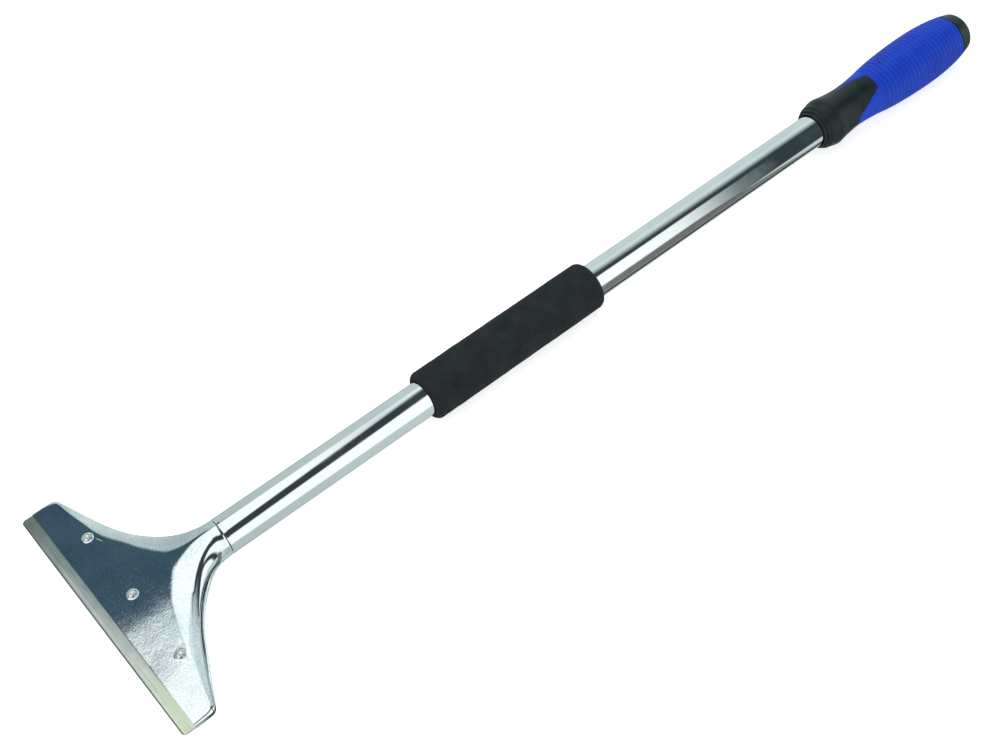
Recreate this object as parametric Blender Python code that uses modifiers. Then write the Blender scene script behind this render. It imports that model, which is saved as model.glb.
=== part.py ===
"""Long-handled blade scraper, modelled as separate pieces.

A straight replaceable blade sits between the two pressed steel skins of a
fan-shaped head.  Three screws pull the skins together.  The head's round neck
meets a plated steel tube over an inner sleeve.  The tube carries a foam sleeve
half way up and a two-part moulded grip with an end cap.

Inside the model, y is measured from the cutting edge along the handle and z
from the handle's centre line.  The empty "scraper" then puts the origin under
the middle of the whole tool: +X along the blade, +Y towards the grip, +Z out
of the side that the screw tips show on.
"""

import math

import bmesh
import bpy
from mathutils import Vector

MM = 0.001
GAP = 0.3 * MM  # clearance between neighbouring pieces

# Driving dimensions
TOTAL_LENGTH = 591 * MM
TUBE_RADIUS = 9.5 * MM
TUBE_WALL = 1.2 * MM
BLADE_WIDTH = 152.4 * MM
BLADE_DEPTH = 16.6 * MM
BLADE_THICKNESS = 1.0 * MM
FOAM_RADIUS = 13.3 * MM

# Places along the handle, measured from the cutting edge
MOUTH_Y = 6 * MM  # front edge of the head's skins
SCREW_Y = 19.3 * MM
NECK_END_Y = 66.6 * MM
TUBE_START_Y = 67 * MM
TUBE_END_Y = 564 * MM
FOAM_START_Y = 186.3 * MM
FOAM_END_Y = 297 * MM
COVER_END_Y = 579.6 * MM

# Head
SHEET = 1.2 * MM
HEAD_HALF_WIDTH = BLADE_WIDTH / 2
FAN_START_Y = 17.7 * MM  # where the concave sides begin
FAN_REACH = 61 * MM  # how far the sides stand out from the neck there
FAN_POWER = 2.15
CORNER_ROUNDING = 3 * MM
LEFT_CORNER_EXTRA = 3.2 * MM  # how much further back the corner on the -X side reaches
RIGHT_CORNER_EXTRA = 1.4 * MM
CORNER_FADE_Y = 36 * MM  # the sides are back on the plain curve here
MOUTH_HALF_HEIGHT = 2.0 * MM
PLATE_SLOPE = 0.056  # the two skins open like a wedge from the mouth
SWELL_START_Y = 22.5 * MM  # between these the wedge swells to the round neck
SWELL_END_Y = 62 * MM
FLANK_MIN = 1.5 * MM  # width of the rolled side, square to the outline
FLANK_MAX = 16 * MM
FLANK_START_Y = 10 * MM  # between these the rolled side widens
FLANK_END_Y = 44 * MM
ROLL_POWER = 2.5  # 2 is an ellipse; above it the roll is boxier
ROUND_START_Y = 40 * MM  # between these the roll turns into the round neck
ROUND_END_Y = 65 * MM
CORNER_START_Y = 14 * MM  # between these the outline turns from the ends into the sides
CORNER_END_Y = 22 * MM
BACK_LAP = 1.6 * MM  # how far the back skin stands out beyond the front one on the +X side
LAP_START_Y = 16 * MM  # between these the overlap grows from the corner
LAP_FULL_Y = 30 * MM
LAP_FADE_Y = 45 * MM  # between these it fades out towards the neck
LAP_END_Y = 60 * MM

# Screws
SCREW_X = 43 * MM
SCREW_RADIUS = 2.0 * MM
SCREW_HEAD_RADIUS = 3.5 * MM
SCREW_HEAD_HEIGHT = 1.5 * MM
SCREW_PROUD = 0.6 * MM
SOCKET_ACROSS_FLATS = 2.5 * MM
SOCKET_DEPTH = 1.1 * MM
SCREW_CHAMFER = 0.6 * MM
SCREW_DIMPLE = (0.3 * MM, 0.7 * MM)  # depth and radius of the hollow in the tip
SCREW_CROWN = [  # (distance from the seat, step in from the head's radius)
    (0.5 * MM, 0.05 * MM), (1.15 * MM, 0.7 * MM), (SCREW_HEAD_HEIGHT, 1.5 * MM),
]
SCREW_SEGMENTS = 24
DRILL_SEGMENTS = 20

# Inner sleeve and end plug
SLEEVE_START_Y = 58.5 * MM
SLEEVE_END_Y = 92 * MM
SLEEVE_WALL = 1.5 * MM
PLUG_START_Y = 566 * MM

# Grip: (y, radius) of the moulded outline, joined by a smooth curve
GRIP_OUTLINE = [
    (476.0, 14.3), (484.0, 13.1), (494.0, 12.4), (507.0, 13.1), (520.0, 14.8),
    (533.0, 15.8), (549.0, 16.3), (563.0, 16.0), (575.0, 14.8), (583.0, 13.3), (588.0, 12.0),
]
NOSE = [(464.8, 9.8), (464.8, 10.6), (466.6, 11.0), (466.8, 11.8), (468.8, 12.6), (471.5, 13.4)]
COLLAR_RINGS = (474 * MM, 477.5 * MM, 481 * MM, 485 * MM)
GRIP_RADIUS = 16.3 * MM
COVER_THICKNESS = 1.8 * MM
TONGUE_TIP_Y = 509.7 * MM
TONGUE_ROOT_Y = 491.8 * MM
TONGUE_TURN = math.radians(20)  # the tongues are turned from +Z towards +X
TONGUE_HALF_TIP = math.radians(22)
TONGUE_HALF_ROOT = math.radians(70)
TONGUE_POWER = 1.3

# Cap: (y, radius) of its rounded rim, from the end face towards the cover
CAP_FACE_RADIUS = 7.5 * MM
CAP_RIM = [(590.6, 9.3), (589.6, 10.8)]
CAP_RINGS = (588 * MM, 584 * MM)

SEGMENTS = 48


def clear_scene():
    for item in list(bpy.data.objects):
        bpy.data.objects.remove(item)


def collection(name):
    group = bpy.data.collections.new(name)
    bpy.context.scene.collection.children.link(group)
    return group


def material(name, colour, roughness, metallic):
    result = bpy.data.materials.new(name)
    result.use_nodes = True
    shader = result.node_tree.nodes["Principled BSDF"]
    shader.inputs["Base Color"].default_value = (*colour, 1)
    shader.inputs["Roughness"].default_value = roughness
    shader.inputs["Metallic"].default_value = metallic
    return result


def smoothstep(start, end, value):
    share = min(max((value - start) / (end - start), 0.0), 1.0)
    return share * share * (3 - 2 * share)


def mix(start, end, share):
    return start + (end - start) * share


def new_object(name, mesh, finish, group, parent):
    mesh.name = name
    if finish:
        mesh.materials.append(finish)
    piece = bpy.data.objects.new(name, mesh)
    group.objects.link(piece)
    piece.parent = parent
    return piece


def mesh_from(bm):
    mesh = bpy.data.meshes.new("mesh")
    bm.to_mesh(mesh)
    bm.free()
    return mesh


def shade(piece, degrees=35):
    piece.data.shade_smooth()
    piece.data.set_sharp_from_angle(angle=math.radians(degrees))


def turned(name, profile, closed, finish, group, parent, segments=SEGMENTS):
    """A turned piece about its local Z.  profile is (z, radius) down the outer side first."""
    bm = bmesh.new()
    verts = [bm.verts.new((radius, 0, z)) for z, radius in profile]
    for first, second in zip(verts, verts[1:]):
        bm.edges.new((first, second))
    if closed:
        bm.edges.new((verts[-1], verts[0]))
    piece = new_object(name, mesh_from(bm), finish, group, parent)
    screw = piece.modifiers.new("turn", "SCREW")
    screw.steps = segments
    screw.render_steps = segments
    screw.use_merge_vertices = True
    screw.merge_threshold = 0.00001
    shade(piece)
    return piece


def along_handle(piece):
    """Turns a piece's local Z to point along the handle, +Y."""
    piece.rotation_euler = (math.radians(-90), 0, 0)
    return piece


def cut(piece, cutter):
    cutter.hide_render = True
    cutter.display_type = "WIRE"
    boolean = piece.modifiers.new("cut", "BOOLEAN")
    boolean.operation = "DIFFERENCE"
    boolean.solver = "EXACT"
    boolean.object = cutter


def cylinder(radius, length, segments):
    bm = bmesh.new()
    bmesh.ops.create_cone(
        bm, cap_ends=True, segments=segments, radius1=radius, radius2=radius, depth=length
    )
    return mesh_from(bm)


# ---- Head: two skins between one outer and one inner surface -----------------


def half_height(y):
    wedge = MOUTH_HALF_HEIGHT + PLATE_SLOPE * (min(y, SWELL_START_Y) - MOUTH_Y)
    return mix(wedge, TUBE_RADIUS, smoothstep(SWELL_START_Y, SWELL_END_Y, y))


def fan_half_width(y, hand):
    """Half the head's width at y if its ends were not cut off; hand is the sign of x."""
    extra = LEFT_CORNER_EXTRA if hand < 0 else RIGHT_CORNER_EXTRA
    y -= extra * (1 - smoothstep(FAN_START_Y, CORNER_FADE_Y, y))
    share = max((NECK_END_Y - y) / (NECK_END_Y - FAN_START_Y), 0)
    return TUBE_RADIUS + FAN_REACH * share**FAN_POWER


def slope_of(width_at, y):
    """How fast a half width shrinks with y."""
    step = 0.1 * MM
    return (width_at(y - step) - width_at(y + step)) / (2 * step)


def overlap_share(y):
    return smoothstep(LAP_START_Y, LAP_FULL_Y, y) * (1 - smoothstep(LAP_FADE_Y, LAP_END_Y, y))


def outline_half_width(y, side, hand, inset):
    """Half width of one skin at y, drawn in by inset, cut off at the blade's ends."""
    is_lapped = side < 0 < hand
    lap = BACK_LAP * overlap_share(y) if is_lapped else 0
    lean = math.hypot(1, slope_of(lambda place: fan_half_width(place, hand), y))
    fan = fan_half_width(y, hand) + (lap - inset) * lean
    end = HEAD_HALF_WIDTH - inset
    return 0.5 * (fan + end - math.hypot(fan - end, CORNER_ROUNDING))


def parting_height(y):
    """Lowest edge of the front skin's side: clear of the blade, then close to the other skin."""
    over_blade = BLADE_THICKNESS / 2 + GAP
    return mix(over_blade, GAP / 2, smoothstep(BLADE_DEPTH + GAP, BLADE_DEPTH + 5 * GAP, y))


def half_section(y, side, hand, inset, columns):
    """Points (x, z) across half of a skin at y, from the middle out, moved inwards by inset."""
    height = half_height(y) - inset
    width = outline_half_width(y, side, hand, inset)
    lean = math.hypot(1, slope_of(lambda place: outline_half_width(place, side, hand, 0), y))
    flank = mix(FLANK_MIN, FLANK_MAX, smoothstep(FLANK_START_Y, FLANK_END_Y, y)) * lean
    flat = max(outline_half_width(y, side, hand, 0) - flank, 0)
    power = mix(ROLL_POWER, 2, smoothstep(ROUND_START_Y, ROUND_END_Y, y))
    parting = parting_height(y)
    lowest = min(parting / height, 0.9)
    edge = flat + (width - flat) * math.sqrt(1 - lowest**power)
    bend = min(flat, edge - 1 * MM)

    def height_at(x):
        share = max((x - flat) / (width - flat), 0)
        return max(height * (1 - share**2) ** (1 / power), parting)

    flat_columns = columns // 3
    flank_columns = columns - flat_columns
    places = [bend * index / flat_columns for index in range(flat_columns)]
    places += [
        bend + (edge - bend) * math.sin(math.pi / 2 * index / flank_columns)
        for index in range(flank_columns + 1)
    ]
    return [(hand * x, height_at(x)) for x in places]


def skin_section(y, side, inset, columns):
    """Points (x, z) across one skin at y, from +x to -x."""
    right = half_section(y, side, 1, inset, columns)
    return right[::-1] + half_section(y, side, -1, inset, columns)[1:]


def head_rows():
    """Row positions, closest together where the side folds at the corners."""
    mouth, corner, side, crowding = 4, 8, 17, 1.15
    rows = [mix(MOUTH_Y, CORNER_START_Y, index / mouth) for index in range(mouth)]
    rows += [mix(CORNER_START_Y, CORNER_END_Y, index / corner) for index in range(corner)]
    rows += [mix(CORNER_END_Y, NECK_END_Y, (index / side) ** crowding) for index in range(side + 1)]
    return rows


def head_skin(name, side, finish, group, parent):
    """One pressed skin; side is +1 for the screw-tip side and -1 for the back."""
    columns = 12
    bm = bmesh.new()
    layers = []
    for inset in (0, SHEET):
        rows = [
            [bm.verts.new((x, y, side * z)) for x, z in skin_section(y, side, inset, columns)]
            for y in head_rows()
        ]
        layers.append(rows)
    outer, inner = layers
    last_row, last_column = len(outer) - 1, len(outer[0]) - 1
    for rows in layers:
        for here, there in zip(rows, rows[1:]):
            for column in range(last_column):
                bm.faces.new((here[column], there[column], there[column + 1], here[column + 1]))
    for row in (0, last_row):
        for column in range(last_column):
            above, below = outer[row], inner[row]
            bm.faces.new((above[column], above[column + 1], below[column + 1], below[column]))
    for column in (0, last_column):
        for row in range(last_row):
            above, below = outer[row : row + 2], inner[row : row + 2]
            bm.faces.new((
                above[0][column], above[1][column], below[1][column], below[0][column]
            ))
    bmesh.ops.recalc_face_normals(bm, faces=bm.faces)
    piece = new_object(name, mesh_from(bm), finish, group, parent)
    shade(piece)
    return piece


def screw_places():
    return [Vector((x, SCREW_Y, 0)) for x in (-SCREW_X, 0, SCREW_X)]


def drill_skin(skin, cutters, parent):
    hole_length = 20 * MM
    for number, place in enumerate(screw_places(), 1):
        drill = new_object(
            f"{skin.name}_drill_{number}",
            cylinder(SCREW_RADIUS + GAP, hole_length, DRILL_SEGMENTS), None, cutters, parent,
        )
        drill.location = place
        cut(skin, drill)


def blade(finish, group, cutters, parent):
    """A flat strip with rounded corners and its front ground to an edge on both faces."""
    front_corner, back_corner, segments = 1.8 * MM, 8 * MM, 5
    ground, edge_half = 1.8 * MM, 0.12 * MM
    bm = bmesh.new()
    bmesh.ops.create_cube(bm, size=1)
    bmesh.ops.scale(bm, vec=(BLADE_WIDTH, BLADE_DEPTH, BLADE_THICKNESS), verts=bm.verts)
    bmesh.ops.translate(bm, vec=(0, BLADE_DEPTH / 2, 0), verts=bm.verts)
    corners = [edge for edge in bm.edges if edge.verts[0].co.xy == edge.verts[1].co.xy]
    front = [edge for edge in corners if edge.verts[0].co.y < BLADE_DEPTH / 2]
    back = [edge for edge in corners if edge not in front]
    for edges, corner in ((back, back_corner), (front, front_corner)):
        bmesh.ops.bevel(
            bm, geom=edges, offset=corner, segments=segments, profile=0.5, affect="EDGES"
        )
    piece = new_object("blade", mesh_from(bm), finish, group, parent)
    half = BLADE_THICKNESS / 2
    slope = math.atan2(half - edge_half, ground)
    block = 6 * MM
    for name, side in (("blade_grind_top", 1), ("blade_grind_bottom", -1)):
        bm = bmesh.new()
        bmesh.ops.create_cube(bm, size=1)
        bmesh.ops.scale(bm, vec=(BLADE_WIDTH + block, 2 * block, block), verts=bm.verts)
        bmesh.ops.translate(bm, vec=(0, 0, side * block / 2), verts=bm.verts)
        grind = new_object(name, mesh_from(bm), None, cutters, parent)
        grind.rotation_euler = (side * slope, 0, 0)
        grind.location = (0, 0, side * edge_half)
        cut(piece, grind)
    return piece


def clamp_screw(number, place, finish, group, cutters, parent):
    """A low-head socket screw, put in from the back, its tip just proud of the front skin."""
    skin = half_height(SCREW_Y)
    seat = -(skin + GAP + PLATE_SLOPE * SCREW_HEAD_RADIUS)
    tip = skin + SCREW_PROUD
    under = seat - SCREW_HEAD_HEIGHT
    dimple_depth, dimple_radius = SCREW_DIMPLE
    profile = [
        (tip - dimple_depth, 0), (tip, dimple_radius), (tip, SCREW_RADIUS - SCREW_CHAMFER),
        (tip - SCREW_CHAMFER, SCREW_RADIUS), (seat, SCREW_RADIUS), (seat, SCREW_HEAD_RADIUS),
    ]
    profile += [(seat - drop, SCREW_HEAD_RADIUS - step) for drop, step in SCREW_CROWN]
    profile.append((under, 0))
    piece = turned(
        f"clamp_screw_{number}", profile, False, finish, group, parent, SCREW_SEGMENTS
    )
    piece.location = place
    socket = new_object(
        f"screw_socket_{number}",
        cylinder(SOCKET_ACROSS_FLATS / math.sqrt(3), 2 * SOCKET_DEPTH, 6), None, cutters, parent,
    )
    socket.location = place + Vector((0, 0, under))
    cut(piece, socket)
    return piece


# ---- Handle -------------------------------------------------------------------


def neck_sleeve(finish, group, parent):
    outer = TUBE_RADIUS - TUBE_WALL - GAP
    inner = outer - SLEEVE_WALL
    chamfer = 0.5 * MM
    profile = [
        (SLEEVE_END_Y, inner), (SLEEVE_END_Y, outer - chamfer), (SLEEVE_END_Y - chamfer, outer),
        (SLEEVE_START_Y + chamfer, outer), (SLEEVE_START_Y, outer - chamfer),
        (SLEEVE_START_Y, inner),
    ]
    return along_handle(turned("neck_sleeve", profile, True, finish, group, parent))


def handle_tube(finish, group, parent):
    inner = TUBE_RADIUS - TUBE_WALL
    profile = [
        (TUBE_END_Y, inner), (TUBE_END_Y, TUBE_RADIUS),
        (TUBE_START_Y, TUBE_RADIUS), (TUBE_START_Y, inner),
    ]
    return along_handle(turned("handle_tube", profile, True, finish, group, parent))


def foam_sleeve(finish, group, parent):
    inner = TUBE_RADIUS + GAP
    rounding, steps = 3 * MM, 4
    arc = [math.pi / 2 * index / steps for index in range(steps + 1)]
    centre = FOAM_RADIUS - rounding
    profile = [(FOAM_END_Y, inner)]
    profile += [
        (FOAM_END_Y - rounding + rounding * math.cos(a), centre + rounding * math.sin(a)) for a in arc
    ]
    profile += [
        (FOAM_START_Y + rounding - rounding * math.sin(a), centre + rounding * math.cos(a)) for a in arc
    ]
    profile += [(FOAM_START_Y, inner)]
    return along_handle(turned("foam_sleeve", profile, True, finish, group, parent))


# ---- Grip ---------------------------------------------------------------------


def grip_radius(y):
    """Catmull-Rom curve through GRIP_OUTLINE."""
    points = [(py * MM, pr * MM) for py, pr in GRIP_OUTLINE]
    y = min(max(y, points[0][0]), points[-1][0])
    last = len(points) - 1
    index = max(i for i in range(last) if points[i][0] <= y)
    (y1, r1), (y2, r2) = points[index], points[index + 1]
    y0, r0 = points[max(index - 1, 0)]
    y3, r3 = points[min(index + 2, last)]
    share = (y - y1) / (y2 - y1)
    slope1 = (r2 - r0) / (y2 - y0) * (y2 - y1)
    slope2 = (r3 - r1) / (y3 - y1) * (y2 - y1)
    square, cube = share**2, share**3
    return (
        (2 * cube - 3 * square + 1) * r1 + (cube - 2 * square + share) * slope1
        + (3 * square - 2 * cube) * r2 + (cube - square) * slope2
    )


def tongue_edge(angle):
    """Where the soft cover begins at this angle, measured from +Z towards +X."""
    turn = abs((angle - TONGUE_TURN + math.pi / 2) % math.pi - math.pi / 2)
    share = (TONGUE_HALF_ROOT - turn) / (TONGUE_HALF_ROOT - TONGUE_HALF_TIP)
    return mix(TONGUE_ROOT_Y, TONGUE_TIP_Y, min(max(share, 0), 1) ** TONGUE_POWER)


def ring_angles():
    return [2 * math.pi * index / SEGMENTS for index in range(SEGMENTS)]


def ring_loft(name, rings, finish, group, parent):
    """Closed body through rings of (radius, y) pairs, one pair for each ring angle."""
    bm = bmesh.new()
    loops = []
    for ring in rings:
        loops.append([
            bm.verts.new((radius * math.sin(angle), y, radius * math.cos(angle)))
            for angle, (radius, y) in zip(ring_angles(), ring)
        ])
    for first, second in zip(loops, loops[1:] + loops[:1]):
        for index in range(SEGMENTS):
            following = (index + 1) % SEGMENTS
            bm.faces.new((first[index], first[following], second[following], second[index]))
    bmesh.ops.recalc_face_normals(bm, faces=bm.faces)
    piece = new_object(name, mesh_from(bm), finish, group, parent)
    shade(piece)
    return piece


def under_cover(y):
    return grip_radius(y) - COVER_THICKNESS - GAP


def grip_core(finish, group, parent):
    """Hard moulding: ringed nose, collar with two tongues, and the barrel under the cover."""
    bore = TUBE_RADIUS + GAP
    rings = [[(radius * MM, y * MM)] * SEGMENTS for y, radius in NOSE]
    rings += [[(grip_radius(y), y)] * SEGMENTS for y in COLLAR_RINGS]
    edge = [tongue_edge(angle) - GAP for angle in ring_angles()]
    steps = 4
    for step in range(1, steps + 1):
        ys = [mix(COLLAR_RINGS[-1], y, step / steps) for y in edge]
        rings.append([(grip_radius(y), y) for y in ys])
    barrel_steps = 7
    for step in range(barrel_steps + 1):
        ys = [mix(y, COVER_END_Y, step / barrel_steps) for y in edge]
        rings.append([(under_cover(y), y) for y in ys])
    rings.append([(bore, COVER_END_Y)] * SEGMENTS)
    return ring_loft("grip_core", rings, finish, group, parent)


def grip_cover(finish, group, parent):
    """Soft moulding over the barrel, cut back around the two tongues."""
    steps = 9
    outer, inner = [], []
    for step in range(steps + 1):
        ys = [mix(tongue_edge(angle), COVER_END_Y, step / steps) for angle in ring_angles()]
        outer.append([(grip_radius(y), y) for y in ys])
        inner.append([(grip_radius(y) - COVER_THICKNESS, y) for y in ys])
    return ring_loft("grip_cover", outer + inner[::-1], finish, group, parent)


def end_cap(finish, group, parent):
    start, plug, chamfer = COVER_END_Y + GAP, TUBE_RADIUS, 1 * MM
    profile = [(TOTAL_LENGTH, 0), (TOTAL_LENGTH, CAP_FACE_RADIUS)]
    profile += [(y * MM, radius * MM) for y, radius in CAP_RIM]
    profile += [(y, grip_radius(y)) for y in (*CAP_RINGS, start)]
    profile += [(start, plug), (PLUG_START_Y + chamfer, plug), (PLUG_START_Y, plug - chamfer)]
    profile.append((PLUG_START_Y, 0))
    return along_handle(turned("end_cap", profile, False, finish, group, parent))


def build():
    clear_scene()
    group = collection("blade_scraper")
    cutters = collection("cutters")
    plated = material("plated_steel", (0.62, 0.65, 0.67), 0.18, 1.0)
    chrome = material("chrome", (0.78, 0.80, 0.81), 0.06, 1.0)
    blade_steel = material("blade_steel", (0.50, 0.53, 0.48), 0.35, 1.0)
    screw_steel = material("screw_steel", (0.70, 0.70, 0.66), 0.28, 1.0)
    foam = material("foam", (0.022, 0.030, 0.032), 0.95, 0.0)
    hard = material("hard_plastic", (0.016, 0.024, 0.024), 0.38, 0.0)
    soft = material("soft_rubber", (0.015, 0.065, 0.58), 0.55, 0.0)

    scraper = bpy.data.objects.new("scraper", None)
    group.objects.link(scraper)
    scraper.location = (0, -TOTAL_LENGTH / 2, GRIP_RADIUS)

    front = head_skin("head_front_skin", 1, plated, group, scraper)
    back = head_skin("head_back_skin", -1, plated, group, scraper)
    for skin in (front, back):
        drill_skin(skin, cutters, scraper)
    blade(blade_steel, group, cutters, scraper)
    for number, place in enumerate(screw_places(), 1):
        clamp_screw(number, place, screw_steel, group, cutters, scraper)
    neck_sleeve(screw_steel, group, scraper)
    handle_tube(chrome, group, scraper)
    foam_sleeve(foam, group, scraper)
    grip_core(hard, group, scraper)
    grip_cover(soft, group, scraper)
    end_cap(hard, group, scraper)


build()
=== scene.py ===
"""Finished look of the long-handled blade scraper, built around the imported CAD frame."""

import math

import bmesh
import bpy
from mathutils import Matrix, Vector, noise


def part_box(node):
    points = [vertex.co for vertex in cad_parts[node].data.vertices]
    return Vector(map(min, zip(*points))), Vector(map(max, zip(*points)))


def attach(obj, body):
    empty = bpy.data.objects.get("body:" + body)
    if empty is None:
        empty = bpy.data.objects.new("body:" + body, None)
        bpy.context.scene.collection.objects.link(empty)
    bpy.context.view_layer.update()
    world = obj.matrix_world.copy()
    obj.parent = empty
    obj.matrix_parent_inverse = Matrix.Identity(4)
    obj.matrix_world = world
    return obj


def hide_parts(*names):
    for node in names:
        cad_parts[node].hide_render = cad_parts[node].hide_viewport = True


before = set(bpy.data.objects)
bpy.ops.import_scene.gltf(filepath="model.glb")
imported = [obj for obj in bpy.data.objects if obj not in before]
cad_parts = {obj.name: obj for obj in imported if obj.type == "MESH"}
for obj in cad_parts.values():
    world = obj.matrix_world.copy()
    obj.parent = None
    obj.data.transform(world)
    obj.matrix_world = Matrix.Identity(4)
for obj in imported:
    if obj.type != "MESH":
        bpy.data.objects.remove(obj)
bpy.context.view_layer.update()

MM = 0.001

# ---- Places and sizes read from the frame ---------------------------------------

BLADE_LOW, BLADE_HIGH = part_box("blade")
TUBE_LOW, TUBE_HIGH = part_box("handle_tube")
SKIN_LOW, SKIN_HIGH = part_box("head_front_skin")
FOAM_LOW, FOAM_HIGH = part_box("foam_sleeve")
COVER_LOW, COVER_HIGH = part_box("grip_cover")
CAP_LOW, CAP_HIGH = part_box("end_cap")
SCREW_NODES = ("clamp_screw_1", "clamp_screw_2", "clamp_screw_3")

EDGE_Y = BLADE_LOW.y  # the cutting edge; distances along the handle start here
AXIS_Z = (TUBE_LOW.z + TUBE_HIGH.z) / 2
TUBE_RADIUS = (TUBE_HIGH.z - TUBE_LOW.z) / 2
MOUTH_Y = SKIN_LOW.y - EDGE_Y
NECK_END_Y = SKIN_HIGH.y - EDGE_Y
COVER_END_Y = COVER_HIGH.y - EDGE_Y
TOTAL_LENGTH = CAP_HIGH.y - EDGE_Y
GAP = 0.3 * MM

# ---- Shape of the head and the grip, as in the CAD ------------------------------

SHEET = 1.2 * MM
FAN_START_Y = 17.7 * MM
FAN_REACH = 61 * MM
FAN_POWER = 2.15
CORNER_ROUNDING = 3 * MM
LEFT_CORNER_EXTRA = 3.2 * MM
RIGHT_CORNER_EXTRA = 1.4 * MM
CORNER_FADE_Y = 36 * MM
MOUTH_HALF_HEIGHT = 2.0 * MM
PLATE_SLOPE = 0.056
SWELL_START_Y = 22.5 * MM
SWELL_END_Y = 62 * MM
FLANK_MIN = 1.5 * MM
FLANK_MAX = 16 * MM
FLANK_START_Y = 10 * MM
FLANK_END_Y = 44 * MM
ROLL_POWER = 2.5
ROUND_START_Y = 40 * MM
ROUND_END_Y = 65 * MM
CORNER_START_Y = 14 * MM
CORNER_END_Y = 22 * MM
BACK_LAP = 1.6 * MM
LAP_START_Y = 16 * MM
LAP_FULL_Y = 30 * MM
LAP_FADE_Y = 45 * MM
LAP_END_Y = 60 * MM
FLAT_COLUMNS = 44
FLANK_COLUMNS = 26
HOLE_CLEARING = 3.6 * MM
HOLE_SEGMENTS = 48

BLADE_FRONT_CORNER = 1.8 * MM
BLADE_BACK_CORNER = 8 * MM
GROUND_WIDTH = 1.8 * MM
GROUND_EDGE_HALF = 0.12 * MM

SCREW_RADIUS = 2.0 * MM
SCREW_HEAD_HEIGHT = 1.5 * MM
SCREW_SEGMENTS = 48
THREAD_PITCH = 0.7 * MM
THREAD_DEPTH = 0.28 * MM
THREAD_TURNS = 9
SOCKET_ACROSS = 2.5 * MM
SOCKET_DEPTH = 1.1 * MM

TUBE_LIP = 0.4 * MM
TUBE_SEGMENTS = 128
FOAM_ROUNDING = 3.4 * MM
FOAM_SEGMENTS = 160
GRIP_OUTLINE = [
    (476.0, 14.3), (484.0, 13.1), (494.0, 12.4), (507.0, 13.1), (520.0, 14.8),
    (533.0, 15.8), (549.0, 16.3), (563.0, 16.0), (575.0, 14.8), (583.0, 13.3), (588.0, 12.0),
]
BELLY_Y = 549 * MM
TONGUE_TIP_Y = 509.7 * MM
TONGUE_ROOT_Y = 491.8 * MM
TONGUE_TURN = math.radians(20)
TONGUE_HALF_TIP = math.radians(22)
TONGUE_HALF_ROOT = math.radians(70)
TONGUE_POWER = 1.3
RIB_COUNT = 24
FIRST_RIB_Y = 512 * MM
LAST_RIB_Y = 578.4 * MM
RIB_PITCH = (LAST_RIB_Y - FIRST_RIB_Y) / (RIB_COUNT - 1)
RIB_HEIGHT = 0.3 * MM
RIB_ROWS = 300
COLLAR_END_Y = 485 * MM
COVER_THICKNESS = 1.8 * MM
GRIP_LIP = 0.35 * MM
GRIP_SEGMENTS = 192


def smoothstep(start, end, value):
    share = min(max((value - start) / (end - start), 0.0), 1.0)
    return share * share * (3 - 2 * share)


def mix(start, end, share):
    return start + (end - start) * share


def spread(start, end, count, power=1.0):
    """count + 1 positions from start to end, closer together near start when power > 1."""
    return [mix(start, end, (index / count) ** power) for index in range(count + 1)]


def angles(segments):
    return [2 * math.pi * step / segments for step in range(segments)]


# ---- Mesh helpers ---------------------------------------------------------------


def link(name, mesh):
    mesh.name = name
    piece = bpy.data.objects.new(name, mesh)
    bpy.context.scene.collection.objects.link(piece)
    return piece


def piece_from(name, bm):
    """Turns a bmesh into an object in the scene."""
    mesh = bpy.data.meshes.new(name)
    bm.to_mesh(mesh)
    bm.free()
    return link(name, mesh)


def smooth(piece, degrees=40):
    piece.data.shade_smooth()
    piece.data.set_sharp_from_angle(angle=math.radians(degrees))


def ring_body(name, rings, closed):
    """Body through rings of points; closed joins the last ring to the first."""
    count = len(rings[0])
    vertices = [point for ring in rings for point in ring]
    pairs = list(range(len(rings))) if closed else list(range(len(rings) - 1))
    faces = []
    for ring in pairs:
        here, there = ring * count, (ring + 1) % len(rings) * count
        for index in range(count):
            following = (index + 1) % count
            faces.append((here + index, there + index, there + following, here + following))
    if not closed:
        faces.append(tuple(range(count)))
        faces.append(tuple(reversed(range((len(rings) - 1) * count, len(rings) * count))))
    mesh = bpy.data.meshes.new(name)
    mesh.from_pydata(vertices, [], faces)
    bm = bmesh.new()
    bm.from_mesh(mesh)
    bmesh.ops.recalc_face_normals(bm, faces=bm.faces)
    bm.to_mesh(mesh)
    bm.free()
    return link(name, mesh)


def around_handle(angle, radius, y):
    """Point at this angle from +Z towards +X, at y along the handle from the cutting edge."""
    return (radius * math.sin(angle), EDGE_Y + y, AXIS_Z + radius * math.cos(angle))


def turned_on_handle(name, profile, segments, closed=True):
    """A turned body on the handle's centre line from (y, radius) points."""
    rings = [
        [around_handle(angle, radius, y) for angle in angles(segments)]
        for y, radius in profile
    ]
    return ring_body(name, rings, closed)


def arc(centre, radius, start, end, steps):
    """(y, radius) points on a rounded corner; angles in degrees, 0 pointing along +y."""
    points = []
    for step in range(steps + 1):
        angle = math.radians(mix(start, end, step / steps))
        points.append((centre[0] + radius * math.cos(angle), centre[1] + radius * math.sin(angle)))
    return points


def apply_modifiers(piece):
    graph = bpy.context.evaluated_depsgraph_get()
    mesh = bpy.data.meshes.new_from_object(piece.evaluated_get(graph), depsgraph=graph)
    piece.modifiers.clear()
    piece.data = mesh
    mesh.name = piece.name


def round_edges(piece, width, degrees):
    """Rounds every edge that bends by more than this angle."""
    modifier = piece.modifiers.new("edges", "BEVEL")
    modifier.width = width
    modifier.segments = 2
    modifier.angle_limit = math.radians(degrees)
    apply_modifiers(piece)


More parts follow.
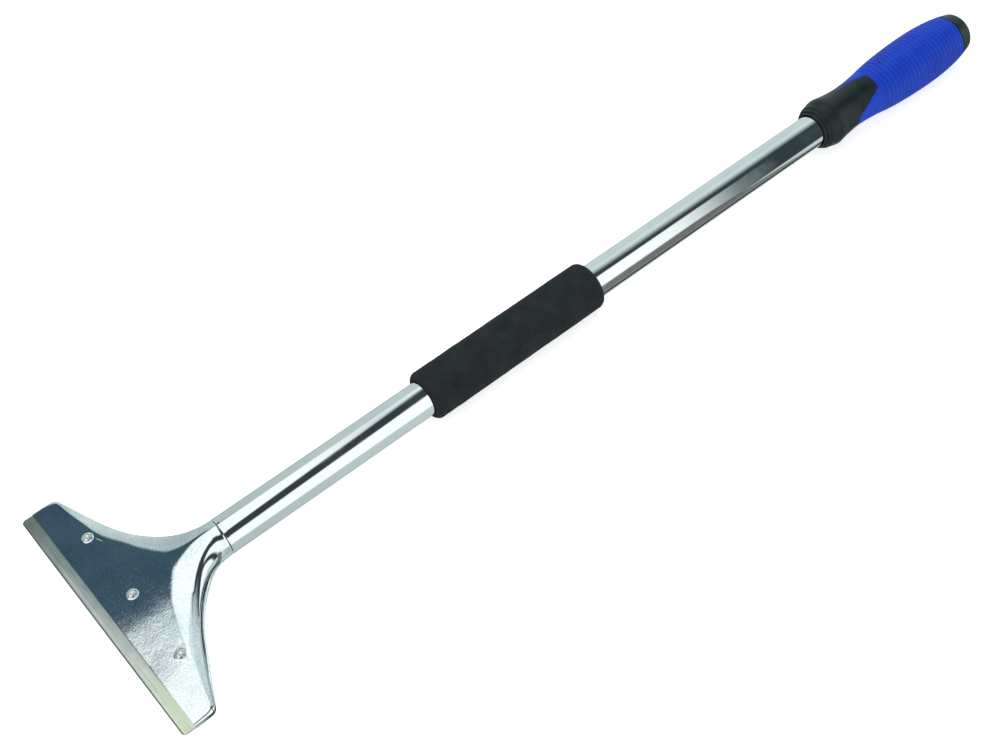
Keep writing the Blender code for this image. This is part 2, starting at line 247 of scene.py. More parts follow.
def cut(piece, tool):
    """Takes the tool's shape out of the piece and removes the tool."""
    modifier = piece.modifiers.new("cut", "BOOLEAN")
    modifier.operation = "DIFFERENCE"
    modifier.solver = "EXACT"
    modifier.object = tool
    apply_modifiers(piece)
    bpy.data.objects.remove(tool)


def finish_piece(piece, node, body, material):
    piece.data.materials.clear()
    piece.data.materials.append(material)
    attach(piece, body)
    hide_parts(node)
    return piece


# ---- Materials ------------------------------------------------------------------


def new_material(name):
    """An empty Principled material and its node tree."""
    material = bpy.data.materials.new(name)
    material.use_nodes = True
    tree = material.node_tree
    return material, tree, tree.nodes["Principled BSDF"]


def node(tree, kind, inputs=None, **settings):
    """Adds a node, sets its properties, and fills its inputs with values or sockets."""
    made = tree.nodes.new(kind)
    for name, value in settings.items():
        setattr(made, name, value)
    for key, value in (inputs or {}).items():
        if isinstance(value, bpy.types.NodeSocket):
            tree.links.new(value, made.inputs[key])
        else:
            made.inputs[key].default_value = value
    return made


def maths(tree, operation, first, second=0.0, third=0.0, clamp=False):
    return node(
        tree, "ShaderNodeMath", {0: first, 1: second, 2: third},
        operation=operation, use_clamp=clamp,
    ).outputs[0]


def place(tree, stretch=(1, 1, 1)):
    """Object coordinates in metres, stretched along each axis."""
    coordinates = node(tree, "ShaderNodeTexCoord").outputs["Object"]
    return node(tree, "ShaderNodeMapping", {"Vector": coordinates, "Scale": stretch}).outputs[0]


def grain(tree, size, detail=3.0, roughness=0.5, stretch=(1, 1, 1), distortion=0.0):
    """Noise from 0 to 1 whose largest features are about size metres across."""
    return node(
        tree, "ShaderNodeTexNoise",
        {
            "Vector": place(tree, stretch), "Scale": 1 / size, "Detail": detail,
            "Roughness": roughness, "Distortion": distortion,
        },
    ).outputs["Fac"]


def ramp(tree, factor, stops):
    """Colour ramp; stops are (position, colour) with grey values given as one number."""
    made = node(tree, "ShaderNodeValToRGB", {"Fac": factor})
    elements = made.color_ramp.elements
    while len(elements) < len(stops):
        elements.new(0.5)
    for element, (position, colour) in zip(elements, stops):
        element.position = position
        rgb = (colour,) * 3 if isinstance(colour, (int, float)) else colour
        element.color = (*rgb, 1)
    return made.outputs["Color"]


def blend(tree, share, first, second):
    """Colour going from first to second as share goes from 0 to 1."""
    return node(
        tree, "ShaderNodeMix", {"Factor": share, 6: first, 7: second}, data_type="RGBA",
    ).outputs[2]


def weighted(tree, first, second, share):
    """Share of the first value plus the rest of the second."""
    return maths(
        tree, "ADD",
        maths(tree, "MULTIPLY", first, share), maths(tree, "MULTIPLY", second, 1 - share),
    )


def span(tree, value, low, high, out_low=0.0, out_high=1.0, smooth_edge=True):
    """Carries value from low..high to out_low..out_high, easing at the ends unless told not to."""
    return node(
        tree, "ShaderNodeMapRange",
        {"Value": value, "From Min": low, "From Max": high, "To Min": out_low, "To Max": out_high},
        interpolation_type="SMOOTHSTEP" if smooth_edge else "LINEAR",
    ).outputs["Result"]


def bump(tree, height, distance, normal=None):
    inputs = {"Height": height, "Distance": distance, "Strength": 1.0}
    if normal is not None:
        inputs["Normal"] = normal
    return node(tree, "ShaderNodeBump", inputs).outputs["Normal"]


def set_shader(shader, **values):
    for name, value in values.items():
        shader.inputs[name.replace("_", " ")].default_value = value


def plated_steel():
    """Bright plating on pressed sheet: a crisp crystalline speckle over very soft waves."""
    material, tree, shader = new_material("plated_steel")
    set_shader(shader, Metallic=1.0)
    speckle = grain(tree, 1.1 * MM, 3, 0.7)
    cloud = grain(tree, 14 * MM, 3, 0.55)
    tone = weighted(tree, speckle, cloud, 0.55)
    colour = ramp(tree, tone, [(0.36, (0.56, 0.65, 0.69)), (0.62, (0.88, 0.92, 0.93))])
    tree.links.new(colour, shader.inputs["Base Color"])
    tree.links.new(span(tree, speckle, 0.35, 0.7, 0.02, 0.06), shader.inputs["Roughness"])
    waves = bump(tree, grain(tree, 9 * MM, 2, 0.5), 0.022 * MM)
    tree.links.new(bump(tree, speckle, 0.012 * MM, waves), shader.inputs["Normal"])
    return material


def chrome():
    """Mirror plating on a drawn tube: faint lengthwise draw lines."""
    material, tree, shader = new_material("chrome")
    set_shader(shader, Metallic=1.0)
    lines = grain(tree, 0.5 * MM, 2, 0.5, (1, 0.02, 1))
    smudge = grain(tree, 25 * MM, 3, 0.6)
    colour = ramp(tree, smudge, [(0.3, (0.74, 0.79, 0.80)), (0.75, (0.83, 0.86, 0.86))])
    tree.links.new(colour, shader.inputs["Base Color"])
    tree.links.new(span(tree, smudge, 0.35, 0.75, 0.03, 0.10), shader.inputs["Roughness"])
    tree.links.new(bump(tree, lines, 0.0015 * MM), shader.inputs["Normal"])
    return material


def blade_steel():
    """Dull spring steel with a painted reflection, dark at the -X end and pale straw-green at the +X
    end; dark at the edge.
    """
    material, tree, shader = new_material("blade_steel")
    set_shader(shader, Metallic=1.0)
    scratches = grain(tree, 1.2 * MM, 4, 0.65, (0.04, 1, 1))
    cloud = grain(tree, 10 * MM, 3, 0.6)
    colour = ramp(tree, cloud, [(0.3, (0.42, 0.47, 0.45)), (0.75, (0.55, 0.59, 0.57))])
    across, along, _ = node(tree, "ShaderNodeSeparateXYZ", {0: place(tree)}).outputs
    painted_reflection_across = maths(tree, "ADD", across, maths(tree, "MULTIPLY", cloud, 30 * MM))
    at_edge = span(tree, along, EDGE_Y + 0.9 * MM, EDGE_Y + 0.3 * MM)
    # painted reflection: darker towards -X, pale straw-green towards +X, its border wandering with the
    # cloud
    colour = blend(tree, span(tree, painted_reflection_across, -10 * MM, -75 * MM), colour, (0.20, 0.24, 0.22, 1))
    colour = blend(tree, span(tree, painted_reflection_across, 38 * MM, 78 * MM), colour, (0.58, 0.65, 0.49, 1))
    colour = blend(tree, at_edge, colour, (0.10, 0.12, 0.11, 1))
    tree.links.new(colour, shader.inputs["Base Color"])
    tree.links.new(span(tree, scratches, 0.3, 0.7, 0.26, 0.42), shader.inputs["Roughness"])
    tree.links.new(bump(tree, scratches, 0.01 * MM), shader.inputs["Normal"])
    return material


def screw_steel():
    """Zinc-plated screws with small tool marks."""
    material, tree, shader = new_material("screw_steel")
    set_shader(shader, Metallic=1.0)
    marks = grain(tree, 0.6 * MM, 4, 0.6)
    colour = ramp(tree, marks, [(0.3, (0.66, 0.68, 0.65)), (0.7, (0.88, 0.90, 0.88))])
    tree.links.new(colour, shader.inputs["Base Color"])
    tree.links.new(span(tree, marks, 0.3, 0.7, 0.18, 0.36), shader.inputs["Roughness"])
    tree.links.new(bump(tree, marks, 0.01 * MM), shader.inputs["Normal"])
    return material


def sleeve_steel():
    """Steel for the sleeve inside the neck, painted near-black as the shade seen through the seam gap.
    """
    material, tree, shader = new_material("sleeve_steel")
    set_shader(shader, Metallic=1.0)
    marks = grain(tree, 1.5 * MM, 4, 0.6, (1, 0.1, 1))
    # near-black: painted shade in the seam between the neck and the tube
    colour = ramp(tree, marks, [(0.3, 0.05), (0.7, 0.12)])
    tree.links.new(colour, shader.inputs["Base Color"])
    tree.links.new(span(tree, marks, 0.3, 0.7, 0.3, 0.5), shader.inputs["Roughness"])
    return material


def foam():
    """Closed-cell foam: a dense grain of small pores, slightly paler where it is rubbed."""
    material, tree, shader = new_material("foam")
    set_shader(shader, Specular_IOR_Level=0.16)
    pores = node(
        tree, "ShaderNodeTexVoronoi",
        {"Vector": place(tree), "Scale": 1 / (0.55 * MM), "Randomness": 1.0}, feature="F1",
    )
    fine = grain(tree, 0.9 * MM, 5, 0.7)
    cloud = grain(tree, 9 * MM, 3, 0.6)
    tone = weighted(tree, fine, cloud, 0.6)
    colour = ramp(
        tree, tone,
        [(0.36, (0.008, 0.010, 0.011)), (0.5, (0.013, 0.017, 0.019)), (0.68, (0.022, 0.027, 0.029))],
    )
    tree.links.new(colour, shader.inputs["Base Color"])
    tree.links.new(span(tree, fine, 0.3, 0.7, 0.78, 0.96), shader.inputs["Roughness"])
    grained = bump(tree, fine, 0.16 * MM)
    tree.links.new(bump(tree, pores.outputs["Distance"], 0.10 * MM, grained), shader.inputs["Normal"])
    return material


def hard_plastic():
    """Satin black moulding with a fine spark-eroded texture and a few rubbed streaks."""
    material, tree, shader = new_material("hard_plastic")
    set_shader(shader, Specular_IOR_Level=0.26)
    fine = grain(tree, 0.35 * MM, 3, 0.6)
    cloud = grain(tree, 7 * MM, 4, 0.6)
    colour = ramp(tree, cloud, [(0.3, (0.003, 0.007, 0.008)), (0.75, (0.008, 0.015, 0.017))])
    tree.links.new(colour, shader.inputs["Base Color"])
    tree.links.new(span(tree, cloud, 0.3, 0.75, 0.30, 0.46), shader.inputs["Roughness"])
    tree.links.new(bump(tree, fine, 0.02 * MM), shader.inputs["Normal"])
    return material


def painted_rib_shade(tree):
    """Up to 0.45 in the valleys between the grip's ribs: how much painted shade goes there."""
    along = node(tree, "ShaderNodeSeparateXYZ", {0: place(tree)}).outputs["Y"]
    turns = maths(
        tree, "DIVIDE", maths(tree, "SUBTRACT", along, EDGE_Y + FIRST_RIB_Y), RIB_PITCH,
    )
    wave = maths(tree, "COSINE", maths(tree, "MULTIPLY", turns, 2 * math.pi))
    ribbed = maths(
        tree, "MULTIPLY", span(tree, turns, -1, 0), span(tree, turns, RIB_COUNT - 1, RIB_COUNT, 1, 0),
    )
    return maths(tree, "MULTIPLY", span(tree, wave, 0.5, -1, 0, 0.45), ribbed)


def soft_rubber():
    """Soft blue moulding: matt, with a fine grain and painted shade in the rib valleys."""
    material, tree, shader = new_material("soft_rubber")
    set_shader(shader, Specular_IOR_Level=0.2)
    fine = grain(tree, 0.4 * MM, 3, 0.6)
    cloud = grain(tree, 12 * MM, 3, 0.55)
    colour = ramp(tree, cloud, [(0.3, (0.001, 0.030, 0.37)), (0.75, (0.003, 0.044, 0.47))])
    # painted shade: darker blue in the valleys between the ribs
    colour = blend(tree, painted_rib_shade(tree), colour, (0.001, 0.014, 0.19, 1))
    tree.links.new(colour, shader.inputs["Base Color"])
    tree.links.new(span(tree, fine, 0.3, 0.7, 0.42, 0.58), shader.inputs["Roughness"])
    tree.links.new(bump(tree, fine, 0.02 * MM), shader.inputs["Normal"])
    return material


# ---- Head -----------------------------------------------------------------------


def half_height(y):
    """Half the head's thickness at y: a shallow wedge that swells into the round neck."""
    wedge = MOUTH_HALF_HEIGHT + PLATE_SLOPE * (min(y, SWELL_START_Y) - MOUTH_Y)
    return mix(wedge, TUBE_RADIUS, smoothstep(SWELL_START_Y, SWELL_END_Y, y))


def fan_half_width(y, hand):
    """Half the head's width at y if its ends were not cut off; hand is the sign of x."""
    extra = LEFT_CORNER_EXTRA if hand < 0 else RIGHT_CORNER_EXTRA
    y -= extra * (1 - smoothstep(FAN_START_Y, CORNER_FADE_Y, y))
    share = max((NECK_END_Y - y) / (NECK_END_Y - FAN_START_Y), 0)
    return TUBE_RADIUS + FAN_REACH * share**FAN_POWER


def slope_of(width_at, y):
    """How fast a half width shrinks with y."""
    step = 0.1 * MM
    return (width_at(y - step) - width_at(y + step)) / (2 * step)


def overlap_share(y):
    """How far the back skin stands out beyond the front one at y, from 0 to 1."""
    return smoothstep(LAP_START_Y, LAP_FULL_Y, y) * (1 - smoothstep(LAP_FADE_Y, LAP_END_Y, y))


def outline_half_width(y, side, hand, inset):
    """Half width of one skin at y, drawn in by inset, cut off at the blade's ends."""
    is_lapped = side < 0 < hand
    lap = BACK_LAP * overlap_share(y) if is_lapped else 0
    lean = math.hypot(1, slope_of(lambda at: fan_half_width(at, hand), y))
    fan = fan_half_width(y, hand) + (lap - inset) * lean
    end = BLADE_HIGH.x - inset
    return 0.5 * (fan + end - math.hypot(fan - end, CORNER_ROUNDING))


def parting_height(y):
    """Lowest edge of the front skin's side: clear of the blade, then close to the other skin."""
    over_blade = (BLADE_HIGH.z - BLADE_LOW.z) / 2 + GAP
    blade_end = BLADE_HIGH.y - EDGE_Y
    return mix(over_blade, GAP / 2, smoothstep(blade_end + GAP, blade_end + 5 * GAP, y))


class HalfSection:
    """Half of a skin's cross-section at y: a flat middle and a rolled side."""

    def __init__(self, y, side, hand, inset):
        self.height = half_height(y) - inset
        self.width = outline_half_width(y, side, hand, inset)
        lean = math.hypot(1, slope_of(lambda at: outline_half_width(at, side, hand, 0), y))
        flank = mix(FLANK_MIN, FLANK_MAX, smoothstep(FLANK_START_Y, FLANK_END_Y, y)) * lean
        self.flat = max(outline_half_width(y, side, hand, 0) - flank, 0)
        self.power = mix(ROLL_POWER, 2, smoothstep(ROUND_START_Y, ROUND_END_Y, y))
        self.parting = parting_height(y)
        lowest = min(self.parting / self.height, 0.9)
        self.edge = self.flat + (self.width - self.flat) * math.sqrt(1 - lowest**self.power)

    def height_at(self, x):
        share = min(max((abs(x) - self.flat) / (self.width - self.flat), 0), 1)
        return max(self.height * (1 - share**2) ** (1 / self.power), self.parting)

    def places(self):
        """Distances from the middle out to the edge, closer together on the rolled side."""
        bend = min(self.flat, self.edge - 1 * MM)
        flank = [mix(bend, self.edge, math.sin(turn)) for turn in spread(0, math.pi / 2, FLANK_COLUMNS)]
        return spread(0, bend, FLAT_COLUMNS)[:-1] + flank


def press_waves(x, y):
    """Slight unevenness left by the press, fading out towards the neck."""
    fade = 1 - smoothstep(SWELL_START_Y, SWELL_END_Y, y)
    spot = Vector((x / (26 * MM), y / (22 * MM), 0.3))
    return 0.09 * MM * fade * noise.noise(spot)


def skin_height(x, y, side, inset):
    """Height of a skin's outer or inner surface above the middle plane."""
    height = HalfSection(y, side, 1 if x > 0 else -1, inset).height_at(x)
    return height + (press_waves(x, y) if height > GAP else 0)


def skin_point(x, y, side, height):
    """World place of a point on a skin; y counts from the cutting edge."""
    return (x, EDGE_Y + y, AXIS_Z + side * height)


def screw_rim(side):
    """(radius, rise) in mm around a screw hole, on the outer and on the inner surface."""
    plain = [(3.2, 0), (2.5, 0), (2.12, 0)]
    if side < 0:
        return plain, plain
    raised = [
        (3.2, 0), (2.72, 0.0), (2.62, 0.04), (2.52, 0.12), (2.44, 0.19), (2.36, 0.22),
        (2.27, 0.2), (2.19, 0.13), (2.13, 0.02), (2.12, -0.15),
    ]
    return raised, plain


def ring_of(bm, centre, radius, height_at):
    """A circle of vertices around a screw, each at the height that height_at(x, y) gives."""
    ring = []
    for angle in angles(HOLE_SEGMENTS):
        x = centre.x + radius * math.cos(angle)
        y = centre.y - EDGE_Y + radius * math.sin(angle)
        ring.append(bm.verts.new((x, EDGE_Y + y, height_at(x, y))))
    return ring


def join_rings(bm, rings):
    """Faces between closed rings of vertices."""
    for first, second in zip(rings, rings[1:]):
        for index, corner in enumerate(first):
            following = (index + 1) % len(first)
            bm.faces.new((corner, first[following], second[following], second[index]))


def open_hole(bm, centre, side, inset, profile):
    """Swaps the sheet around a screw for rings that follow the profile; gives the last ring."""

    def surface(x, y, rise=0.0):
        return AXIS_Z + side * (skin_height(x, y, side, inset) + rise)

    def distance(vert):
        return (vert.co.xy - centre.xy).length

    def is_near(vert):
        if distance(vert) > HOLE_CLEARING:
            return False
        return abs(vert.co.z - surface(vert.co.x, vert.co.y - EDGE_Y)) < 0.3 * SHEET

    doomed = [face for face in bm.faces if any(is_near(vert) for vert in face.verts)]
    bmesh.ops.delete(bm, geom=doomed, context="FACES")
    border = [
        edge for edge in bm.edges
        if edge.is_boundary
        and all(HOLE_CLEARING <= distance(vert) < 2 * HOLE_CLEARING for vert in edge.verts)
    ]
    for vert in {vert for edge in border for vert in edge.verts}:
        away = (vert.co.xy - centre.xy).normalized() * HOLE_CLEARING + centre.xy
        vert.co = (*away, surface(away.x, away.y - EDGE_Y))
    rings = [
        ring_of(bm, centre, radius * MM, lambda x, y, rise=rise: surface(x, y, rise * MM))
        for radius, rise in profile
    ]
    outermost = [
        bm.edges.new((vert, following))
        for vert, following in zip(rings[0], rings[0][1:] + rings[0][:1])
    ]
    bmesh.ops.bridge_loops(bm, edges=border + outermost)
    join_rings(bm, rings)
    return rings[-1]


def skin_rows():
    """Distances of the rows of vertices from the cutting edge, closest together at the corner."""
    rows = spread(MOUTH_Y, CORNER_START_Y, 16)
    rows += spread(CORNER_START_Y, CORNER_END_Y, 24)[1:]
    rows += spread(CORNER_END_Y, NECK_END_Y, 66, 1.1)[1:]
    return rows


def skin_row(bm, y, side, inset):
    """One row of vertices across a skin, from its +X edge to its -X edge."""
    halves = []
    for hand in (1, -1):
        half = HalfSection(y, side, hand, inset)
        halves.append([(hand * x, half.height_at(x)) for x in half.places()])
    return [
        bm.verts.new(skin_point(x, y, side, z + (press_waves(x, y) if z > GAP else 0)))
        for x, z in halves[0][::-1] + halves[1][1:]
    ]


def join_rows(bm, rows):
    """Faces between open rows of vertices."""
    for here, there in zip(rows, rows[1:]):
        for column in range(len(here) - 1):
            bm.faces.new((here[column], there[column], there[column + 1], here[column + 1]))


def head_skin(name, side):
    """One skin of the head, edges rounded and screw holes rimmed; side is +1 for the front."""
    bm = bmesh.new()
    outer, inner = [[skin_row(bm, y, side, inset) for y in skin_rows()] for inset in (0, SHEET)]
    join_rows(bm, outer)
    join_rows(bm, inner)
    outer_rim, inner_rim = screw_rim(side)
    for centre in screw_centres():
        above = open_hole(bm, centre, side, 0, outer_rim)
        below = open_hole(bm, centre, side, SHEET, inner_rim)
        join_rings(bm, [above, below])
    for end in (0, -1):
        join_rows(bm, [outer[end], inner[end]])
        join_rows(bm, [[row[end] for row in outer], [row[end] for row in inner]])
    bmesh.ops.recalc_face_normals(bm, faces=bm.faces)
    piece = piece_from(name, bm)
    round_edges(piece, 0.22 * MM, 55)
    smooth(piece, 45)
    return piece


def screw_centres():
    """Middle of each screw's box."""
    centres = []
    for name in SCREW_NODES:
        low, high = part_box(name)
        centres.append((low + high) / 2)
    return centres


def upright_turned(name, profile, centre, segments):
    """A turned body about a vertical line through centre, from (z, radius) points."""
    rings = [
        [
            (centre.x + radius * math.cos(angle), centre.y + radius * math.sin(angle), z)
            for angle in angles(segments)
        ]
        for z, radius in profile
    ]
    return ring_body(name, rings, False)


def blade_outline(depth):
    """(x, y) points round the strip, y from its cutting edge."""
    outline = []
    for hand, y, corner, start in (
        (1, 0, BLADE_FRONT_CORNER, -90), (1, depth, BLADE_BACK_CORNER, 0),
        (-1, depth, BLADE_BACK_CORNER, 90), (-1, 0, BLADE_FRONT_CORNER, 180),
    ):
        centre = (hand * (BLADE_HIGH.x - corner), abs(y - corner))
        outline += arc(centre, corner, start, start + 90, 8)
    return outline


def blade():
    """The strip: rounded corners, a ground edge on both faces."""
    half = (BLADE_HIGH.z - BLADE_LOW.z) / 2
    bm = bmesh.new()
    corners = [bm.verts.new((x, y, -half)) for x, y in blade_outline(BLADE_HIGH.y - BLADE_LOW.y)]
    raised = bmesh.ops.extrude_face_region(bm, geom=[bm.faces.new(corners)])
    top = [item for item in raised["geom"] if isinstance(item, bmesh.types.BMVert)]
    bmesh.ops.translate(bm, vec=(0, 0, 2 * half), verts=top)
    bmesh.ops.recalc_face_normals(bm, faces=bm.faces)
    for y in (GROUND_WIDTH, GROUND_WIDTH + 0.4 * MM):
        bmesh.ops.bisect_plane(
            bm, geom=bm.verts[:] + bm.edges[:] + bm.faces[:], plane_co=(0, y, 0), plane_no=(0, 1, 0)
        )
    for vert in bm.verts:
        share = min(vert.co.y / GROUND_WIDTH, 1)
        vert.co.z *= mix(GROUND_EDGE_HALF, half, share) / half
    bmesh.ops.translate(bm, vec=(0, EDGE_Y, AXIS_Z), verts=bm.verts)
    piece = piece_from("blade_strip", bm)
    round_edges(piece, 0.05 * MM, 40)
    smooth(piece, 30)
    return piece


def screw_profile(tip, bottom, head_radius):
    """(z, radius) points from the dimpled tip down the thread to the low round head."""
    seat = bottom + SCREW_HEAD_HEIGHT
    root = SCREW_RADIUS - THREAD_DEPTH
    profile = [(tip - 0.35 * MM, 0.25 * MM), (tip - 0.1 * MM, 0.65 * MM), (tip, 0.85 * MM)]
    profile += [(tip, 1.3 * MM), (tip - 0.12 * MM, 1.5 * MM), (tip - 0.6 * MM, SCREW_RADIUS)]
    for turn in range(THREAD_TURNS):
        top = tip - 0.62 * MM - turn * THREAD_PITCH
        if top - THREAD_PITCH < seat:
            break
        profile += [(top - 0.08 * MM, SCREW_RADIUS), (top - 0.33 * MM, root)]
        profile += [(top - 0.41 * MM, root), (top - 0.66 * MM, SCREW_RADIUS)]
    profile += [(seat, SCREW_RADIUS), (seat, head_radius - 0.1 * MM), (seat - 0.1 * MM, head_radius)]
    for angle in spread(0, math.pi / 2, 7):
        z = mix(seat - 0.35 * MM, bottom, math.sin(angle))
        profile.append((z, head_radius - 1.6 * MM * (1 - math.cos(angle))))
    return profile


def clamp_screw(number, low, high):
    """Chamfered, dimpled tip above; low round head with a hexagon socket below."""
    centre = (low + high) / 2
    profile = screw_profile(high.z, low.z, high.x - centre.x)
    piece = upright_turned(f"clamp_screw_{number}_fine", profile, centre, SCREW_SEGMENTS)
    socket_radius = SOCKET_ACROSS / math.sqrt(3)
    socket = [(low.z - 1 * MM, socket_radius), (low.z + SOCKET_DEPTH, socket_radius)]
    cut(piece, upright_turned("socket", socket, centre, 6))
    smooth(piece, 30)
    return piece


# ---- Handle ---------------------------------------------------------------------


def tube():
    """Drawn tube with rounded outer rims."""
    inner = TUBE_RADIUS - SHEET
    start, end = TUBE_LOW.y - EDGE_Y, TUBE_HIGH.y - EDGE_Y
    profile = [(end, inner)]
    profile += arc((end - TUBE_LIP, TUBE_RADIUS - TUBE_LIP), TUBE_LIP, 0, 90, 4)
    profile += [(y, TUBE_RADIUS) for y in spread(end - 2 * MM, start + 2 * MM, 40)]
    profile += arc((start + TUBE_LIP, TUBE_RADIUS - TUBE_LIP), TUBE_LIP, 90, 180, 4)
    profile += [(start, inner)]
    piece = turned_on_handle("handle_tube_fine", profile, TUBE_SEGMENTS)
    smooth(piece)
    return piece


def foam_profile(inner, radius):
    """(y, radius) points of the foam sleeve's section, with soft rounded ends."""
    start, end = FOAM_LOW.y - EDGE_Y, FOAM_HIGH.y - EDGE_Y
    centre = radius - FOAM_ROUNDING
    profile = [(end - 0.5 * MM, inner), (end, inner + 0.5 * MM)]
    profile += arc((end - FOAM_ROUNDING, centre), FOAM_ROUNDING, 0, 90, 9)
    profile += [(y, radius) for y in spread(end - FOAM_ROUNDING, start + FOAM_ROUNDING, 150)[1:-1]]
    profile += arc((start + FOAM_ROUNDING, centre), FOAM_ROUNDING, 90, 180, 9)
    profile += [(start, inner + 0.5 * MM), (start + 0.5 * MM, inner)]
    return profile


def foam_tube():
    """Foam sleeve with a slightly uneven, pore-marked skin."""
    inner, radius = TUBE_RADIUS + GAP, (FOAM_HIGH.x - FOAM_LOW.x) / 2
    rings = []
    for y, ring_radius in foam_profile(inner, radius):
        share = (ring_radius - inner) / (radius - inner)
        ring = []
        for angle in angles(FOAM_SEGMENTS):
            spot = Vector(around_handle(angle, ring_radius, y))
            lumps = 0.10 * noise.noise(spot / (11 * MM)) + 0.07 * noise.noise(spot / (1.6 * MM))
            ring.append(around_handle(angle, ring_radius + lumps * MM * share, y))
        rings.append(ring)
    piece = ring_body("foam_sleeve_fine", rings, True)
    smooth(piece, 60)
    return piece


# ---- Grip -----------------------------------------------------------------------


def grip_radius(y):
    """Smooth curve through the points of the grip's outline."""
    points = [(py * MM, pr * MM) for py, pr in GRIP_OUTLINE]
    y = min(max(y, points[0][0]), points[-1][0])
    last = len(points) - 1
    index = max(i for i in range(last) if points[i][0] <= y)
    (y1, r1), (y2, r2) = points[index], points[index + 1]
    y0, r0 = points[max(index - 1, 0)]
    y3, r3 = points[min(index + 2, last)]
    share = (y - y1) / (y2 - y1)
    slope1 = (r2 - r0) / (y2 - y0) * (y2 - y1)
    slope2 = (r3 - r1) / (y3 - y1) * (y2 - y1)
    square, cube = share**2, share**3
    return (
        (2 * cube - 3 * square + 1) * r1 + (cube - 2 * square + share) * slope1
        + (3 * square - 2 * cube) * r2 + (cube - square) * slope2
    )


def tongue_edge(angle):
    """y at which the hard moulding ends at this angle: further along at its two tongues."""
    turn = abs((angle - TONGUE_TURN + math.pi / 2) % math.pi - math.pi / 2)
    share = (TONGUE_HALF_ROOT - turn) / (TONGUE_HALF_ROOT - TONGUE_HALF_TIP)
    share = min(max(share, 0), 1)
    rounded = share if share < 0.9 else 0.9 + 0.1 * smoothstep(0.9, 1, share)
    return mix(TONGUE_ROOT_Y, TONGUE_TIP_Y, rounded**TONGUE_POWER)


def ribbed_radius(y):
    """Cover radius: full-ring ribs with narrow valleys between the first and the last rib."""
    turns = (y - FIRST_RIB_Y) / RIB_PITCH
    fade = smoothstep(-1, -0.2, turns) * smoothstep(0, 0.8, RIB_COUNT - turns)
    valley = (0.5 - 0.5 * math.cos(2 * math.pi * turns)) ** 1.4
    return grip_radius(y) - RIB_HEIGHT * fade * valley


def under_cover(y):
    """Radius of the soft cover's inner surface."""
    return grip_radius(y) - COVER_THICKNESS


def level(y):
    """The same y at every angle."""
    return [y] * GRIP_SEGMENTS


def part_way(starts, stops, share):
    """Places the same share of the way between two borders at every angle."""
    return [mix(start, stop, share) for start, stop in zip(starts, stops)]


def grip_ring(places, radius_at):
    """A ring round the handle with one y for each angle."""
    return [around_handle(angle, radius_at(y), y) for angle, y in zip(angles(GRIP_SEGMENTS), places)]


def lip_ring(border, drop, retreat):
    """A ring on a rounded border, sunk below the grip's outline and set back from the border."""
    return [
        around_handle(angle, grip_radius(y) - drop, y - retreat)
        for angle, y in zip(angles(GRIP_SEGMENTS), border)
    ]


def nose_profile():
    """(y, radius) points in mm of the stepped nose, up to the collar."""
    profile = [(466.0, 9.8), (464.9, 10.0)]
    for turn in spread(math.pi / 2, 0, 4):
        profile.append((464.8 + 0.35 * (1 - math.sin(turn)), 10.25 + 0.35 * math.cos(turn)))
    profile += [(466.5, 10.7), (466.65, 10.85), (466.6, 11.3)]
    for turn in spread(0, 1.5, 4):
        profile.append((466.6 + 0.5 * (1 - math.cos(turn)), 11.5 + 0.4 * math.sin(turn)))
    profile += [(468.3, 12.05), (468.5, 12.15), (468.5, 12.4)]
    for turn in spread(0, 1.4, 5):
        profile.append((468.6 + 0.8 * (1 - math.cos(turn)), 12.5 + 0.5 * math.sin(turn)))
    profile += [(470.6, 13.15), (472.0, 13.6), (473.3, 13.95), (474.4, 14.17)]
    return profile


def core():
    """Hard moulding: stepped nose, collar, two raised tongues, barrel under the cover."""
    rings = [
        [around_handle(angle, radius * MM, y * MM) for angle in angles(GRIP_SEGMENTS)]
        for y, radius in nose_profile()
    ]
    rings += [grip_ring(level(y), grip_radius) for y in spread(475.2 * MM, COLLAR_END_Y, 12)]
    border = [tongue_edge(angle) - GAP for angle in angles(GRIP_SEGMENTS)]
    last = [y - GRIP_LIP for y in border]
    for share in spread(0, 1, 26)[1:]:
        rings.append(grip_ring(part_way(level(COLLAR_END_Y), last, share), grip_radius))
    for turn in spread(0, math.pi / 2, 3)[1:]:
        rings.append(lip_ring(border, GRIP_LIP * (1 - math.cos(turn)), GRIP_LIP * (1 - math.sin(turn))))
    for share in spread(0, 1, 8):
        places = part_way(border, level(COVER_END_Y), share)
        rings.append(grip_ring(places, lambda y: under_cover(y) - GAP))
    rings.append(grip_ring(level(COVER_END_Y), lambda y: TUBE_RADIUS + GAP))
    piece = ring_body("grip_core_fine", rings, True)
    smooth(piece, 50)
    return piece


def cover():
    """Soft ribbed moulding with rounded borders at the tongues and at the cap."""
    border = [tongue_edge(angle) for angle in angles(GRIP_SEGMENTS)]
    first = [y + GRIP_LIP for y in border]
    # rings follow the tongues at the border and straighten out before the first rib
    straight = [max(FIRST_RIB_Y - 3.2 * MM, y + 2.2 * MM) for y in border]
    end = COVER_END_Y - GRIP_LIP
    rings = [
        lip_ring(border, GRIP_LIP * (1 - math.sin(turn)), GRIP_LIP * (math.cos(turn) - 1))
        for turn in spread(0, math.pi / 2, 3)
    ]
    for share in spread(0, 1, 30)[1:]:
        rings.append(grip_ring(part_way(first, straight, share), ribbed_radius))
    for share in spread(0, 1, RIB_ROWS)[1:]:
        rings.append(grip_ring(part_way(straight, level(end), share), ribbed_radius))
    for turn in spread(0, math.pi / 2, 3)[1:]:
        radius = grip_radius(end) - GRIP_LIP * (1 - math.cos(turn))
        rings.append(grip_ring(level(end + GRIP_LIP * math.sin(turn)), lambda y: radius))
    for share in spread(1, 0, 6):
        rings.append(grip_ring(part_way(border, level(COVER_END_Y), share), under_cover))
    piece = ring_body("grip_cover_fine", rings, True)
    smooth(piece, 50)
    return piece


